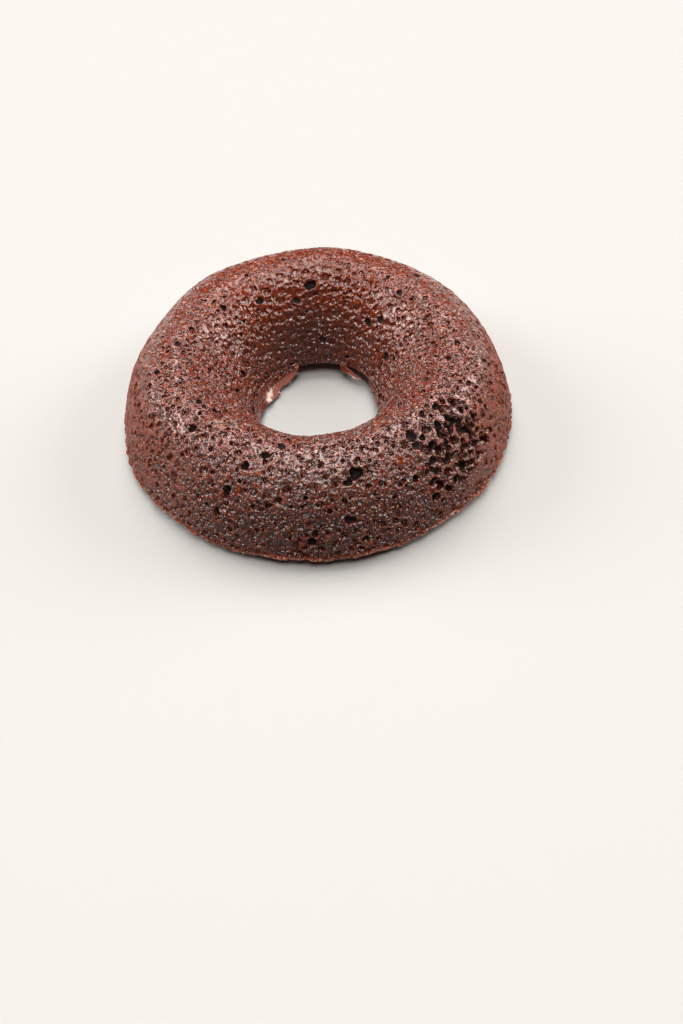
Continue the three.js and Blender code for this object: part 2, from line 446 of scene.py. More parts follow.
def crust_line():
    """The line from the lip over the crest to the hole's rim, as radius and height."""
    lean = math.radians(WALL_LEAN)
    throat = math.radians(THROAT_LEAN)
    wall = bezier((
        (LIP_RADIUS, LIP_HEIGHT),
        (LIP_RADIUS - WALL_REACH * math.sin(lean), LIP_HEIGHT + WALL_REACH * math.cos(lean)),
        (CREST_RADIUS + SHOULDER_REACH, CREST_HEIGHT),
        (CREST_RADIUS, CREST_HEIGHT)), LINE_STEPS)
    slope = bezier((
        (CREST_RADIUS, CREST_HEIGHT),
        (CREST_RADIUS - SLOPE_REACH, CREST_HEIGHT),
        (HOLE_RADIUS + THROAT_REACH * math.sin(throat),
         HOLE_RIM_HEIGHT + THROAT_REACH * math.cos(throat)),
        (HOLE_RADIUS, HOLE_RIM_HEIGHT)), LINE_STEPS)
    return np.vstack([wall, slope[1:]])


def underside_line():
    inner = bezier((
        (HOLE_RADIUS + EDGE_THICKNESS, HOLE_RIM_HEIGHT - EDGE_THICKNESS),
        (HOLE_RADIUS + UNDERSIDE_REACH, HOLE_RIM_HEIGHT / 2),
        (REST_INNER_RADIUS - UNDERSIDE_REACH, 0),
        (REST_INNER_RADIUS, 0)), UNDERSIDE_LINE_STEPS)
    outer = bezier((
        (REST_OUTER_RADIUS, 0),
        (REST_OUTER_RADIUS + UNDERSIDE_REACH, 0),
        (LIP_RADIUS - UNDERSIDE_REACH, LIP_HEIGHT / 3),
        (LIP_RADIUS - EDGE_THICKNESS / 2, LIP_HEIGHT - EDGE_THICKNESS)), UNDERSIDE_LINE_STEPS)
    rim = ((HOLE_RADIUS, HOLE_RIM_HEIGHT),)
    lip = ((LIP_RADIUS, LIP_HEIGHT),)
    return np.vstack([rim, inner, outer, lip])


def lengths_along(line):
    return np.concatenate([[0], np.cumsum(np.hypot(*np.diff(line, axis=0).T))])


def even_points(line, step):
    """Points an even step apart along a line, and how far along each one lies."""
    along = lengths_along(line)
    wanted = np.linspace(0, along[-1], round(along[-1] / step) + 1)
    radius = np.interp(wanted, along, line[:, 0])
    height = np.interp(wanted, along, line[:, 1])
    return np.column_stack([radius, height]), wanted


def line_normals(points):
    """Outward directions of a closed section, whose points run anticlockwise."""
    along = np.roll(points, -1, axis=0) - np.roll(points, 1, axis=0)
    along /= np.hypot(along[:, 0], along[:, 1])[:, None]
    return np.column_stack([along[:, 1], -along[:, 0]])


# Unevenness, the same as the solid's

def make_swells():
    draw = make_random(SWELL_SEED)
    waves, phases = [], []
    for _ in range(SWELL_COUNT):
        turn = 2 * math.pi * draw()
        rise = 2 * draw() - 1
        length = SWELL_SHORTEST + (SWELL_LONGEST - SWELL_SHORTEST) * draw()
        flat = math.sqrt(1 - rise * rise)
        direction = np.array((flat * math.cos(turn), flat * math.sin(turn), rise))
        waves.append(direction * 2 * math.pi / length)
        phases.append(2 * math.pi * draw())
    return waves, phases


def make_lip_phases():
    draw = make_random(LIP_SEED)
    return [2 * math.pi * draw() for _ in LIP_WAVE_COUNTS]


def uneven(points):
    """Moves points of the even ring to their places on the uneven one."""
    azimuth = np.arctan2(points[..., 1], points[..., 0])
    core = np.stack([
        CORE_RADIUS * np.cos(azimuth),
        CORE_RADIUS * np.sin(azimuth),
        np.full_like(azimuth, CORE_HEIGHT)], -1)
    away = points - core
    away /= np.linalg.norm(away, axis=-1, keepdims=True)
    swell = np.zeros_like(azimuth)
    for wave, phase in zip(*make_swells()):
        swell += np.sin(points @ wave + phase)
    swell *= SWELL_HEIGHT * smoothstep(points[..., 2], 0, SWELL_FADE)
    moved = points + away * swell[..., None]
    radius = np.hypot(points[..., 0], points[..., 1])
    from_lip = np.hypot(radius - LIP_RADIUS, points[..., 2] - LIP_HEIGHT)
    waver = np.zeros_like(azimuth)
    for count, phase in zip(LIP_WAVE_COUNTS, make_lip_phases()):
        waver += np.sin(count * azimuth + phase)
    moved[..., 2] += LIP_WAVE_HEIGHT * waver * (1 - smoothstep(from_lip, 0, LIP_WAVE_REACH))
    return moved


# Pores

def on_ring(azimuth, climb, line):
    """The even ring's point, or points, at an azimuth and climb."""
    along = lengths_along(line)
    radius = np.interp(climb * MM, along, line[:, 0])
    height = np.interp(climb * MM, along, line[:, 1])
    return polar_point(azimuth, radius, height)


def scatter(pores, points, count, draw, place, line):
    """Adds a count of pores where the given rule places them, each clear of those before it."""
    wanted = len(pores) + count
    while len(pores) < wanted:
        width = PORE_WIDTH_SMALLEST + (PORE_WIDTH_LARGEST - PORE_WIDTH_SMALLEST) * draw()
        azimuth, climb = place(draw)
        point = on_ring(azimuth, climb, line)
        gaps = [
            np.linalg.norm(point - other) > ((width + pore[2]) / 2 + PORE_GAP) * MM
            for pore, other in zip(pores, points)]
        if all(gaps):
            pores.append((azimuth, climb, width))
            points.append(point)


def large_pores(line):
    """The solid's pores, as azimuth, climb and width."""
    pores = [*BOLD_PORES, *PATCH_PORES]
    points = [on_ring(azimuth, climb, line) for azimuth, climb, _ in pores]
    draw = make_random(PORE_SEED)
    scatter(pores, points, PATCH_PORE_COUNT, draw, lambda next_draw: (
        PATCH_AZIMUTH + PATCH_AZIMUTH_SPREAD * (next_draw() + next_draw() - 1),
        PATCH_CLIMB + PATCH_CLIMB_SPREAD * (next_draw() + next_draw() - 1)), line)
    scatter(pores, points, LOOSE_PORE_COUNT, draw, lambda next_draw: (
        360 * next_draw(),
        LOOSE_CLIMB_LOWEST + (LOOSE_CLIMB_HIGHEST - LOOSE_CLIMB_LOWEST) * next_draw()), line)
    return pores


def spread_pits(line, pores, widths, azimuths, climbs, overlap=PIT_OVERLAP):
    """Puts each pit at the first of its tried places that is clear of the others."""
    filled = len(pores)
    places = np.zeros((filled + len(widths), 3))
    sizes = np.zeros(len(places))
    for index, (azimuth, climb, width) in enumerate(pores):
        places[index] = on_ring(azimuth, climb, line)
        sizes[index] = width * MM
    tried = on_ring(azimuths, climbs, line)
    pits = []
    for row, width in enumerate(widths):
        for place, azimuth, climb in zip(tried[row], azimuths[row], climbs[row]):
            away = np.linalg.norm(places[:filled] - place, axis=1)
            gap = away - (sizes[:filled] + width * MM) / 2
            if gap.min() > -overlap * width * MM:
                places[filled] = place
                sizes[filled] = width * MM
                filled += 1
                pits.append((azimuth, climb, width))
                break
    return pits


def scattered_pits(line, pores, rng):
    """Pits all over the crust, the widest placed first, as azimuth, climb and width."""
    top = lengths_along(line)[-1] / MM - PIT_MARGIN
    share = np.sort(rng.random(PIT_COUNT) ** PIT_BIAS)[::-1]
    widths = PIT_SMALLEST * (PIT_LARGEST / PIT_SMALLEST) ** share
    tries = (PIT_COUNT, PIT_TRIES)
    climbs = rng.uniform(PIT_MARGIN, top, tries)
    kept = (climbs > WALL_TOP) | (rng.random(tries) < WALL_SHARE)
    climbs = np.where(kept, climbs, rng.uniform(WALL_TOP, top, tries))
    return spread_pits(line, pores, widths, rng.uniform(0, 360, tries), climbs)


def patch_pits(line, pores, rng):
    """Deeper pits, which roughen the patch between its pores."""
    widths = np.sort(rng.uniform(PATCH_PIT_SMALLEST, PATCH_PIT_LARGEST, PATCH_PIT_COUNT))[::-1]
    tries = (PATCH_PIT_COUNT, PIT_TRIES)
    azimuths = PATCH_AZIMUTH + PATCH_AZIMUTH_SPREAD * (rng.random(tries) + rng.random(tries) - 1)
    climbs = PATCH_CLIMB + PATCH_CLIMB_SPREAD * (rng.random(tries) + rng.random(tries) - 1)
    return spread_pits(line, pores, widths, azimuths, climbs, PATCH_PIT_OVERLAP)


def pinholes(line, pores, rng):
    """Narrow deep holes, dark inside."""
    widths = np.sort(rng.uniform(PINHOLE_SMALLEST, PINHOLE_LARGEST, PINHOLE_COUNT))[::-1]
    tries = (PINHOLE_COUNT, PINHOLE_TRIES)
    top = lengths_along(line)[-1] / MM - PINHOLE_MARGIN_ABOVE
    azimuths = rng.uniform(0, 360, tries)
    return spread_pits(line, pores, widths, azimuths, rng.uniform(PINHOLE_MARGIN_BELOW, top, tries))


def cut_pores(relief, cavity, rim, pores, climbs, radii, rng, depth_share, dark=(0, 0), ragged=1.0):
    """Cuts pits with uneven outlines into the relief, and marks their insides, where shade is painted,
    and their edges, where a glow is partly painted.

    The relief has a row for each climb, with its radius, and a column for each step around.
    """
    columns = relief.shape[1]
    turn = 2 * math.pi / columns
    row_step = climbs[1] - climbs[0]
    for azimuth, climb, width in pores:
        half = width * MM / 2
        reach = half * PIT_REACH
        row = climb * MM / row_step
        rows = np.arange(max(0, int(row - reach / row_step)),
                         min(len(climbs), int(row + reach / row_step) + 2))
        around = radii[min(int(row), len(radii) - 1)] * turn
        column = math.radians(azimuth) / turn
        span = int(reach / around) + 1
        near = np.arange(int(column) - span, int(column) + span + 1)
        above = (climbs[rows] - climb * MM)[:, None]
        aside = ((near - column) * around)[None, :]
        angle = np.arctan2(above, aside)
        wobble = np.zeros_like(angle)
        for count, least, most in OUTLINE_WAVES:
            wobble += rng.uniform(least, most) * np.cos(count * angle + rng.uniform(*WAVE_STARTS))
        share = np.hypot(above, aside) / (half * (1 + ragged * wobble))
        bowl = np.clip(1 - share ** BOWL_POWER, 0, 1) ** BOWL_ROUNDNESS
        depth = width * MM * depth_share * rng.uniform(*DEPTH_SPREAD)
        depth *= 1 - BACK_CALM * max(0, math.sin(math.radians(azimuth)))
        edge = np.clip(1 - np.abs(share - RIM_PLACE) / RIM_SPREAD, 0, 1)
        at = np.ix_(rows, near % columns)
        lifted = relief[at] + RIM_HEIGHT * edge * (relief[at] > -RIM_HEIGHT)
        relief[at] = np.minimum(lifted, np.where(share < 1, -depth * bowl, np.inf))
        cavity[at] = np.maximum(cavity[at], bowl * rng.uniform(*dark))
        rim[at] = np.maximum(rim[at], edge)


# The fine ring

def rough_waves(points, shortest, longest, count, seed):
    """A sum of short plane waves, for the crust's small lumps."""
    rng = np.random.default_rng(seed)
    total = np.zeros(points.shape[:-1])
    for _ in range(count):
        direction = rng.normal(size=3)
        direction /= np.linalg.norm(direction)
        length = rng.uniform(shortest, longest)
        total += np.sin(points @ (direction * 2 * math.pi / length) + rng.uniform(*WAVE_STARTS))
    return total / math.sqrt(count / 2)


def spun(pairs, azimuth):
    """Pairs of radius and height turned about the axis, with a column for each azimuth."""
    radius, height = pairs[:, 0, None], pairs[:, 1, None]
    x = radius * np.cos(azimuth)
    y = radius * np.sin(azimuth)
    return np.stack([x, y, np.broadcast_to(height, x.shape)], -1)


def cut_crust(line, climbs, radii, shape):
    """The ring's relief, with marks for the insides and the edges of its pores and pits."""
    relief, cavity, rim = np.zeros(shape), np.zeros(shape), np.zeros(shape)
    rows = len(climbs)
    parts = relief[:rows], cavity[:rows], rim[:rows]
    rng = np.random.default_rng(PIT_SEED)
    large = large_pores(line)
    patch = patch_pits(line, large, rng)
    narrow = pinholes(line, large + patch, rng)
    pits = scattered_pits(line, large + patch + narrow, rng)
    cut_pores(*parts, pits, climbs, radii, rng, PIT_DEPTH)
    cut_pores(*parts, patch, climbs, radii, rng, PATCH_PIT_DEPTH, PATCH_PIT_DARKNESS, RAGGED)
    cut_pores(*parts, narrow, climbs, radii, rng, PINHOLE_DEPTH, PINHOLE_DARKNESS)
    cut_pores(*parts, large, climbs, radii, rng, PORE_DEPTH, PORE_DARKNESS, RAGGED)
    return relief, cavity, rim


def look_marks(climb, azimuth):
    """How dry, shaded, glossy and boldly pitted the crust is, and where the hole's far wall lies."""
    angle = np.degrees(azimuth)
    sideways = np.abs(np.cos(azimuth))
    backward = np.sin(azimuth)
    far_crest = stretch(climb, angle, FAR_CREST)
    dry = (1 - smoothstep(climb, *DRY_END)) * smoothstep(sideways, *DRY_SIDEWAYS)
    near_wall = (1 - smoothstep(climb, *NEAR_WALL_END)) * smoothstep(-backward, *NEAR_WALL_FORWARD)
    far_wall = (1 - smoothstep(climb, *FAR_WALL_END)) * smoothstep(backward, *FAR_WALL_BACKWARD)
    hole_wall = smoothstep(climb, *HOLE_WALL_START) * hump(angle, HOLE_WALL_AZIMUTH, HOLE_WALL_SPREAD)
    walls = NEAR_WALL_SHADE * near_wall + FAR_WALL_SHADE * far_wall
    dull = FAR_CREST_DULLNESS * far_crest + NEAR_SLOPE_DULLNESS * stretch(climb, angle, NEAR_SLOPE)
    gloss = GLOSS + MOIST_GLOSS * stretch(climb, angle, MOIST_SHOULDER) - dull
    faintness = np.where(backward > 0, BACK_FAINTNESS, FRONT_BOLDNESS) * backward
    return {
        "dry": dry,
        "shade": np.maximum(hole_wall, walls) + FAR_CREST_SHADE * far_crest,
        "gloss": gloss * (1 - np.maximum(dry, walls)) * (1 - HOLE_WALL_DULLNESS * hole_wall),
        # the hole's far wall, which gets painted shade and a painted grey sheen
        "back_wall": hole_wall,
        "boldness": 1 - faintness - SIDE_FAINTNESS * sideways,
    }


def ring_points():
    """Places and marks of the fine ring, with a row for each step of the section, and its plain box."""
    line = crust_line()
    crust, climbs = even_points(line, CRUST_STEP)
    under, _ = even_points(underside_line(), UNDERSIDE_STEP)
    section = np.vstack([crust, under[1:-1]])
    azimuth = np.arange(AROUND_STEPS) * 2 * math.pi / AROUND_STEPS
    even = spun(section, azimuth)
    outward = spun(line_normals(section), azimuth)
    relief, cavity, rim = cut_crust(line, climbs, crust[:, 0], even.shape[:2])
    from_lip = np.hypot(section[:, 0] - LIP_RADIUS, section[:, 1] - LIP_HEIGHT)[:, None]
    lip = 1 - smoothstep(from_lip, LIP_FULL, LIP_REACH)
    lumps = rough_waves(even, LUMP_SHORTEST, LUMP_LONGEST, LUMP_COUNT, LUMP_SEED)
    fray = rough_waves(even, LIP_FRAY_SHORTEST, LIP_FRAY_LONGEST, LIP_FRAY_COUNT, FRAY_SEED)
    relief += LUMP_HEIGHT * lumps * smoothstep(even[..., 2], 0, LUMP_FADE)
    relief += LIP_FRAY * lip * np.clip(fray, -1, 1)
    plain = uneven(even)
    box = plain.min(axis=(0, 1)), plain.max(axis=(0, 1))
    under_climbs = np.full(len(section) - len(crust), UNDERSIDE_CLIMB)
    climb = np.concatenate([climbs / MM, under_climbs])[:, None]
    marks = {"cavity": cavity, "rim": rim, "lip": lip, **look_marks(climb, azimuth)}
    marks = {name: np.broadcast_to(values, relief.shape) for name, values in marks.items()}
    marks["outward"] = outward
    return fit_to_solid(plain + outward * relief[..., None], *box), marks, box


def fit_to_solid(places, low, high):
    """Fits points of the ring to the solid's box, with none below its floor or over its top."""
    solid_low = np.array(cad_low)
    solid_high = np.array(cad_high)
    scale = (solid_high - solid_low) / (high - low)
    fitted = solid_low + (places - low) * scale
    fitted[..., 2] = np.clip(fitted[..., 2], solid_low[2], solid_high[2])
    return fitted


def set_marks(mesh, marks):
    """Keeps a value or a direction for each point of the mesh, under each mark's name."""
    for name, values in marks.items():
        directed = values.size == 3 * len(mesh.vertices)
        attribute = mesh.attributes.new(name, "FLOAT_VECTOR" if directed else "FLOAT", "POINT")
        flat = np.ascontiguousarray(values, np.float32).reshape(-1)
        attribute.data.foreach_set("vector" if directed else "value", flat)


def shade_smoothly(mesh):
    mesh.polygons.foreach_set("use_smooth", np.ones(len(mesh.polygons), dtype=bool))


def closed_mesh(name, places, marks):
    """A mesh of quads over a grid that closes on itself both ways."""
    rows, columns = places.shape[:2]
    row = np.arange(rows)[:, None]
    column = np.arange(columns)[None, :]
    next_row = (row + 1) % rows
    next_column = (column + 1) % columns
    corners = np.stack([
        row * columns + column,
        row * columns + next_column,
        next_row * columns + next_column,
        next_row * columns + column], -1).reshape(-1, 4)
    mesh = bpy.data.meshes.new(name)
    mesh.vertices.add(rows * columns)
    mesh.vertices.foreach_set("co", places.reshape(-1))
    mesh.loops.add(corners.size)
    mesh.loops.foreach_set("vertex_index", corners.reshape(-1).astype(np.int32))
    mesh.polygons.add(len(corners))
    mesh.polygons.foreach_set("loop_start", (np.arange(len(corners)) * 4).astype(np.int32))
    mesh.update(calc_edges=True)
    set_marks(mesh, marks)
    return mesh


def thinned(mesh, triangles):
    """The mesh with its flatter stretches thinned out, and smooth shading."""
    dense = bpy.data.objects.new("dense", mesh)
    bpy.context.scene.collection.objects.link(dense)
    thinner = dense.modifiers.new("thin", "DECIMATE")
    thinner.ratio = triangles / (2 * len(mesh.polygons))
    thinner.use_collapse_triangulate = True
    shown = dense.evaluated_get(bpy.context.evaluated_depsgraph_get())
    thin = bpy.data.meshes.new_from_object(shown)
    bpy.data.objects.remove(dense)
    bpy.data.meshes.remove(mesh)
    shade_smoothly(thin)
    return thin


# Torn skin

def skin_point(azimuth, drop, inward):
    """Points of the leaning skin at a drop, some way in from its outer face."""
    lean = math.radians(SKIN_LEAN)
    radius = HOLE_RADIUS - SKIN_PROUD - inward - drop * MM * math.sin(lean)
    height = HOLE_RIM_HEIGHT - drop * MM * math.cos(lean)
    return polar_point(azimuth, radius, height)


def painted_glint_streak(azimuth, down):
    """1 along the streak of painted glint on the skin, fading away from it."""
    middle = (azimuth - np.mean(GLINT_STREAK_AZIMUTHS)) / (np.ptp(GLINT_STREAK_AZIMUTHS) / 2)
    streak = GLINT_STREAK_DOWN + GLINT_STREAK_SLANT * middle + GLINT_STREAK_WAVER * np.sin(azimuth * GLINT_STREAK_WAVER_TURNS)
    across = (down - streak) / GLINT_STREAK_HALF_WIDTH
    return np.minimum(GLINT_STREAK_STRENGTH * np.exp(-middle ** 4 - across ** 2), 1)


def skin_piece(landmarks, rng):
    """A closed strip of skin with a frayed lower edge, as rings of places and of marks."""
    azimuths, uppers, lowers = np.array(landmarks)[::-1].T
    azimuth = np.arange(azimuths[0], azimuths[-1], SKIN_STEP)
    upper = np.interp(azimuth, azimuths, uppers)
    lower = np.interp(azimuth, azimuths, lowers)
    coarse = azimuth[::SKIN_FRAY_SPACING]
    fray = np.interp(azimuth, coarse, rng.uniform(-1, 1, len(coarse)))
    fray += SKIN_FINE_FRAY * rng.uniform(-1, 1, len(azimuth))
    fray *= SKIN_FRAY * np.clip(lower - SKIN_FRAY_FROM, 0, 1)
    lower = np.maximum(lower + fray, upper + SKIN_LEAST_DROP)
    down = np.linspace(0, 1, SKIN_ROWS)[:, None]
    drop = upper + (lower - upper) * down
    fold = sum(height * np.sin(azimuth * turns + slant * down) for height, turns, slant in SKIN_FOLDS)
    fold = fold + SKIN_CURL * down ** 2 * hump(azimuth, SKIN_CURL_AZIMUTH, SKIN_CURL_SPREAD)
    inner = skin_point(azimuth, drop, SKIN_THICKNESS + fold * down)
    thickness = SKIN_EDGE_THICKNESS + (SKIN_THICKNESS - SKIN_EDGE_THICKNESS) * (1 - down ** 3)
    outer = skin_point(azimuth, drop, SKIN_THICKNESS - thickness + fold * down)
    start = np.interp(azimuth, *np.array(SMOOTH_FROM)[::-1].T)
    smooth = smoothstep(drop, start, start + SKIN_SMOOTH_WITHIN)
    pale = np.interp(azimuth, *np.array(PALE)[::-1].T) * smoothstep(down, *SKIN_PALE_AND_GLINT_FROM)
    marks = np.stack([smooth, np.maximum(pale, painted_glint_streak(azimuth, down))])
    places = np.concatenate([inner, outer[::-1]]).transpose(1, 0, 2)
    return places, np.concatenate([marks, marks[:, ::-1]], 1).transpose(2, 1, 0)


def sliver(root, tip, width):
    """A thin tapering shred, as rings of places and of marks."""
    start, end = (polar_point(*place) * MM for place in (root, tip))
    along = end - start
    across = np.cross(along, (0, 0, 1))
    across /= np.linalg.norm(across)
    upward = np.cross(across, along)
    upward /= np.linalg.norm(upward)
    turn = np.linspace(0, 2 * math.pi, SLIVER_SIDES, endpoint=False)[:, None]
    rings = []
    for share in np.linspace(0, 1, SLIVER_RINGS):
        half = width * MM / 2 * (1 - SLIVER_TAPER * share)
        half *= 1 + SLIVER_WAVE * math.sin(SLIVER_WAVE_TURNS * share)
        middle = start + along * share + upward * SLIVER_ARCH * math.sin(SLIVER_ARCH_TURNS * share)
        rings.append(middle + half * (across * np.cos(turn) + upward * SLIVER_FLATNESS * np.sin(turn)))
    return np.array(rings), np.ones((SLIVER_RINGS, SLIVER_SIDES, 2)) * (1, SLIVER_PALE_AND_GLINT)


def tube_mesh(name, tubes):
    """One mesh of closed tubes, each given as rings of places and marks."""
    vertices, faces, torn = [], [], []
    for places, marks in tubes:
        base = len(vertices)
        rings, around = places.shape[:2]
        vertices.extend(places.reshape(-1, 3))
        torn.extend(marks.reshape(-1, 2))
        for ring in range(rings - 1):
            for step in range(around):
                following = (step + 1) % around
                faces.append([
                    base + ring * around + step,
                    base + ring * around + following,
                    base + (ring + 1) * around + following,
                    base + (ring + 1) * around + step])
        faces.append([base + step for step in reversed(range(around))])
        faces.append([base + (rings - 1) * around + step for step in range(around)])
    mesh = bpy.data.meshes.new(name)
    mesh.from_pydata([tuple(point) for point in vertices], [], faces)
    shape = bmesh.new()
    shape.from_mesh(mesh)
    bmesh.ops.recalc_face_normals(shape, faces=shape.faces)
    shape.to_mesh(mesh)
    shape.free()
    smooth, pale = np.array(torn, np.float32).T
    set_marks(mesh, {
        "smooth_skin": smooth,
        # paleness of the skin, whose highest values are painted glints
        "pale": pale,
        "boldness": 1 - smooth,
        "gloss": np.full(len(smooth), SKIN_GLOSS),
        "outward": np.array([vertex.normal for vertex in mesh.vertices]),
    })
    shade_smoothly(mesh)
    return mesh


# Materials

def add_node(tree, kind, inputs=(), **settings):
    """Adds a node, sets what it is given and links or sets its inputs by name."""
    node = tree.nodes.new(kind)
    for key, value in settings.items():
        setattr(node, key, value)
    for key, value in dict(inputs).items():
        socket = node.inputs[key]
        if isinstance(value, bpy.types.NodeSocket):
            tree.links.new(value, socket)
        else:
            socket.default_value = value
    return node


def maths(tree, operation, first, second=0.0):
    node = add_node(tree, "ShaderNodeMath", {0: first, 1: second}, operation=operation)
    return node.outputs[0]


def product(tree, first, second):
    return maths(tree, "MULTIPLY", first, second)


def mark(tree, name):
    return add_node(tree, "ShaderNodeAttribute", attribute_name=name).outputs["Fac"]


def remap(tree, value, low, high, to_low=0.0, to_high=1.0, smooth=True):
    node = add_node(tree, "ShaderNodeMapRange", {
        "Value": value, "From Min": low, "From Max": high, "To Min": to_low, "To Max": to_high})
    node.interpolation_type = "SMOOTHSTEP" if smooth else "LINEAR"
    return node.outputs["Result"]


def blend(tree, share, first, second):
    """Mixes two colours."""
    node = add_node(tree, "ShaderNodeMix", data_type="RGBA")
    for index, value in ((MIX_SHARE, share), (MIX_FIRST, first), (MIX_SECOND, second)):
        if isinstance(value, bpy.types.NodeSocket):
            tree.links.new(value, node.inputs[index])
        else:
            node.inputs[index].default_value = value
    return node.outputs[MIX_RESULT]


def noise(tree, place, size, detail=2.0):
    node = add_node(tree, "ShaderNodeTexNoise", {
        "Vector": place, "Scale": 1 / size, "Detail": detail, "Roughness": NOISE_ROUGHNESS})
    return node.outputs["Fac"]


def cells(tree, place, size, least, most):
    """How far out of its own small pit a place lies, 1 at the edge, and a chance value for each pit."""
    node = add_node(tree, "ShaderNodeTexVoronoi", {"Vector": place, "Scale": 1 / size, "Randomness": 1.0})
    chance = add_node(tree, "ShaderNodeSeparateColor", {"Color": node.outputs["Color"]})
    radius = remap(tree, chance.outputs["Red"], 0.0, 1.0, least, most, smooth=False)
    return maths(tree, "DIVIDE", node.outputs["Distance"], radius), chance.outputs["Green"]


def swaying(tree, place, size, amount):
    """The place, moved about a little so that a pattern loses its regularity."""
    sway = add_node(tree, "ShaderNodeTexNoise", {"Vector": place, "Scale": 1 / size, "Detail": 1.0})
    centred = add_node(tree, "ShaderNodeVectorMath", {
        0: sway.outputs["Color"], 1: (0.5, 0.5, 0.5)}, operation="SUBTRACT")
    scaled = add_node(tree, "ShaderNodeVectorMath", {
        0: centred.outputs[0], "Scale": amount}, operation="SCALE")
    return add_node(tree, "ShaderNodeVectorMath", {
        0: place, 1: scaled.outputs[0]}, operation="ADD").outputs[0]


def crust_bump(tree, place):
    """The finest pits, at two sizes, in a slightly grainy skin."""
    swayed = swaying(tree, place, SWAY_SIZE, SWAY)
    height = product(tree, noise(tree, place, GRAIN_SIZE), GRAIN)
    for size, least, most, depth in FINE_PITS:
        share, chance = cells(tree, swayed, size * MM, least, most)
        raised = remap(tree, share, *FINE_PIT_SIDES, -1.0, 0.0)
        depths = (depth * amount for amount in FINE_PIT_DEPTHS)
        deep = remap(tree, chance, 0.0, 1.0, *depths, smooth=False)
        height = maths(tree, "ADD", height, product(tree, raised, deep))
    height = product(tree, height, mark(tree, "boldness"))
    bump = add_node(tree, "ShaderNodeBump", {"Strength": 1.0, "Distance": 1.0 * MM, "Height": height})
    return bump.outputs["Normal"]


def pit_wall_shade(tree, normal):
    """Share of painted shade, 1 where the surface stands across the crust, as in the walls of the pits.
    """
    outward = add_node(tree, "ShaderNodeAttribute", attribute_name="outward").outputs["Vector"]
    facing = add_node(tree, "ShaderNodeVectorMath", {0: normal, 1: outward}, operation="DOT_PRODUCT")
    return remap(tree, facing.outputs["Value"], *PIT_WALL_FACING, *PIT_WALL_SHADE_STRENGTHS)


def crust_colour(tree, place, tones, normal, cavity):
    """Browns in fine patches and orange specks, with painted shade, painted sheen, painted glow on thin
    edges and painted glints.
    """
    flecks = noise(tree, place, FLECK_SIZE)
    shaded = product(tree, mark(tree, "shade"), remap(tree, tones, *SHADED_RANGE, *SHADED_STRENGTHS))
    # Painted grey sheen on the hole's far wall, where the orange specks fade
    plain = product(tree, mark(tree, "back_wall"), PAINTED_SHEEN_SHARE)
    specks = remap(tree, flecks, *SPECK_RANGE, *SPECK_STRENGTHS)
    lip = mark(tree, "lip")
    ragged = remap(tree, flecks, *LIP_FLECK_RANGE, *LIP_STRENGTHS)
    pale = mark(tree, "pale")
    colour = blend(tree, remap(tree, tones, *TONE_RANGE), DEEP_BROWN, RED_BROWN)
    for share, layer in (
            (shaded, SHADED_BROWN),
            (product(tree, mark(tree, "dry"), DRY_STRENGTH), DRY_BROWN),
            # painted shade on the steep walls of the pits
            (pit_wall_shade(tree, normal), PIT_WALL_SHADE_BROWN),
            (product(tree, specks, maths(tree, "SUBTRACT", 1.0, plain)), SPECK_ORANGE),
            # painted grey sheen on the hole's far wall
            (product(tree, plain, SHEEN_GREY_STRENGTH), SHEEN_GREY_BROWN),
            # pit edges lighter orange, partly their own colour and partly a painted glow of light through
            # them
            (product(tree, mark(tree, "rim"), PIT_EDGE_STRENGTH), PIT_EDGE_ORANGE_AND_GLOW),
            # the lip lighter orange and pink, partly its own colour and partly painted light on its thin
            # edge
            (product(tree, lip, ragged), LIP_ORANGE_AND_LIGHT),
            (product(tree, remap(tree, lip, *LIP_PINK_RANGE), ragged), LIP_PINK_AND_LIGHT),
            # painted shade inside the pores
            (cavity, PORE_SHADE_BLACK),
            (mark(tree, "smooth_skin"), SKIN_BROWN),
            (remap(tree, pale, *SKIN_PINK_RANGE), SKIN_PINK),
            # painted white glints on the palest torn skin and on the slivers
            (remap(tree, pale, *SKIN_GLINT_WHITE_RANGE), SKIN_GLINT_WHITE)):
        colour = blend(tree, share, colour, layer)
    return colour


def crust_roughness(tree, tones, cavity):
    rough = remap(tree, tones, *ROUGHNESS_RANGE, *ROUGHNESS, smooth=False)
    rough = maths(tree, "ADD", rough, product(tree, mark(tree, "dry"), DRY_ROUGHNESS))
    return maths(tree, "ADD", rough, product(tree, cavity, PORE_ROUGHNESS))


def crust_coat(tree, normal, cavity):
    """Strength of the coat: the gloss and, where the crust is shaded, glints on what faces up."""
    upward = add_node(tree, "ShaderNodeSeparateXYZ", {"Vector": normal}).outputs["Z"]
    glints = remap(tree, upward, *GLINT_FACING, *GLINT_STRENGTHS)
    glints = product(tree, glints, product(tree, mark(tree, "shade"), mark(tree, "boldness")))
    gloss = maths(tree, "ADD", mark(tree, "gloss"), glints)
    return product(tree, gloss, maths(tree, "SUBTRACT", 1.0, cavity))


